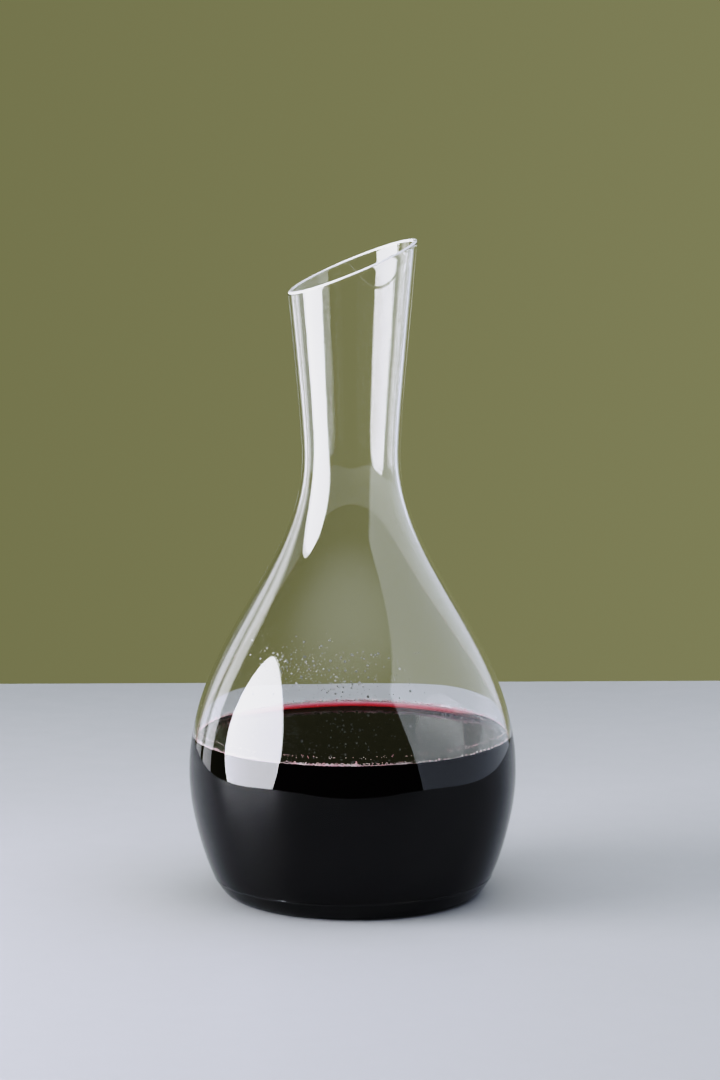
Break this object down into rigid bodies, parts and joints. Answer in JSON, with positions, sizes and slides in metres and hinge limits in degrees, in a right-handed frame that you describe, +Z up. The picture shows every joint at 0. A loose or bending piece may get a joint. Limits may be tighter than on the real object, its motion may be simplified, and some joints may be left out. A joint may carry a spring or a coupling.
{
  "type": "wine decanter",
  "caption": "Clear blown glass decanter with a round low body, long shoulders, narrow waist and flared slant-cut pouring mouth, part filled with red wine.",
  "frame": {"origin": "on the vessel's axis, in the plane of its standing ring", "axes": "+Z up along the vessel's axis, +X towards the high side of the slanted mouth, so the pouring side is -X"},
  "size_m": [0.136, 0.136, 0.2738],
  "materials": {
    "clear_glass": "clear colourless polished glass, fire-polished lip",
    "red_wine": "still red wine, near black in bulk and crimson where thin"
  },
  "bodies": {
    "root": {"glass_vessel": "clear_glass", "wine": "red_wine"}
  },
  "joints": []
}
